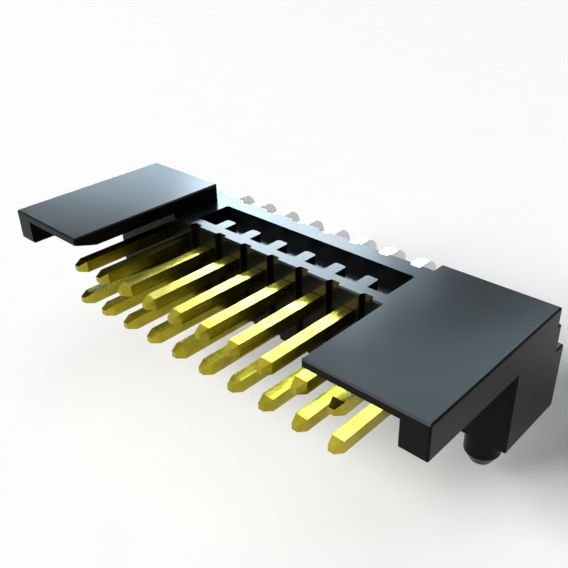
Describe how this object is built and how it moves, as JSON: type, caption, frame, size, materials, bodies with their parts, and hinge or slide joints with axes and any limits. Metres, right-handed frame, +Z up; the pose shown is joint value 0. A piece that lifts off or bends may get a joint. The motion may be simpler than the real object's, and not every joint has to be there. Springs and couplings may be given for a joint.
{
  "type": "board to board connector",
  "caption": "Right-angle pin header: rows of square gold posts in a black moulded bar, with flat guide wings at its ends and locating pegs for a circuit board.",
  "frame": {"origin": "on the board face of the housing, midway between the two locating pegs", "axes": "+X along the contact rows, -Y the way the posts point, +Z up from the board"},
  "size_m": [0.0174, 0.0088, 0.006],
  "materials": {
    "housing_plastic": "black glass-filled thermoplastic, moulded, satin to glossy",
    "contact_gold": "bright gold plating over drawn square copper-alloy wire, tin on the tails"
  },
  "bodies": {
    "root": {"housing": "housing_plastic", "upper_contact_01": "contact_gold", "upper_contact_02": "contact_gold", "upper_contact_03": "contact_gold", "upper_contact_04": "contact_gold", "upper_contact_05": "contact_gold", "upper_contact_06": "contact_gold", "upper_contact_07": "contact_gold", "upper_contact_08": "contact_gold", "upper_contact_09": "contact_gold", "upper_contact_10": "contact_gold", "lower_contact_01": "contact_gold", "lower_contact_02": "contact_gold", "lower_contact_03": "contact_gold", "lower_contact_04": "contact_gold", "lower_contact_05": "contact_gold", "lower_contact_06": "contact_gold", "lower_contact_07": "contact_gold", "lower_contact_08": "contact_gold", "lower_contact_09": "contact_gold", "lower_contact_10": "contact_gold"}
  },
  "joints": []
}
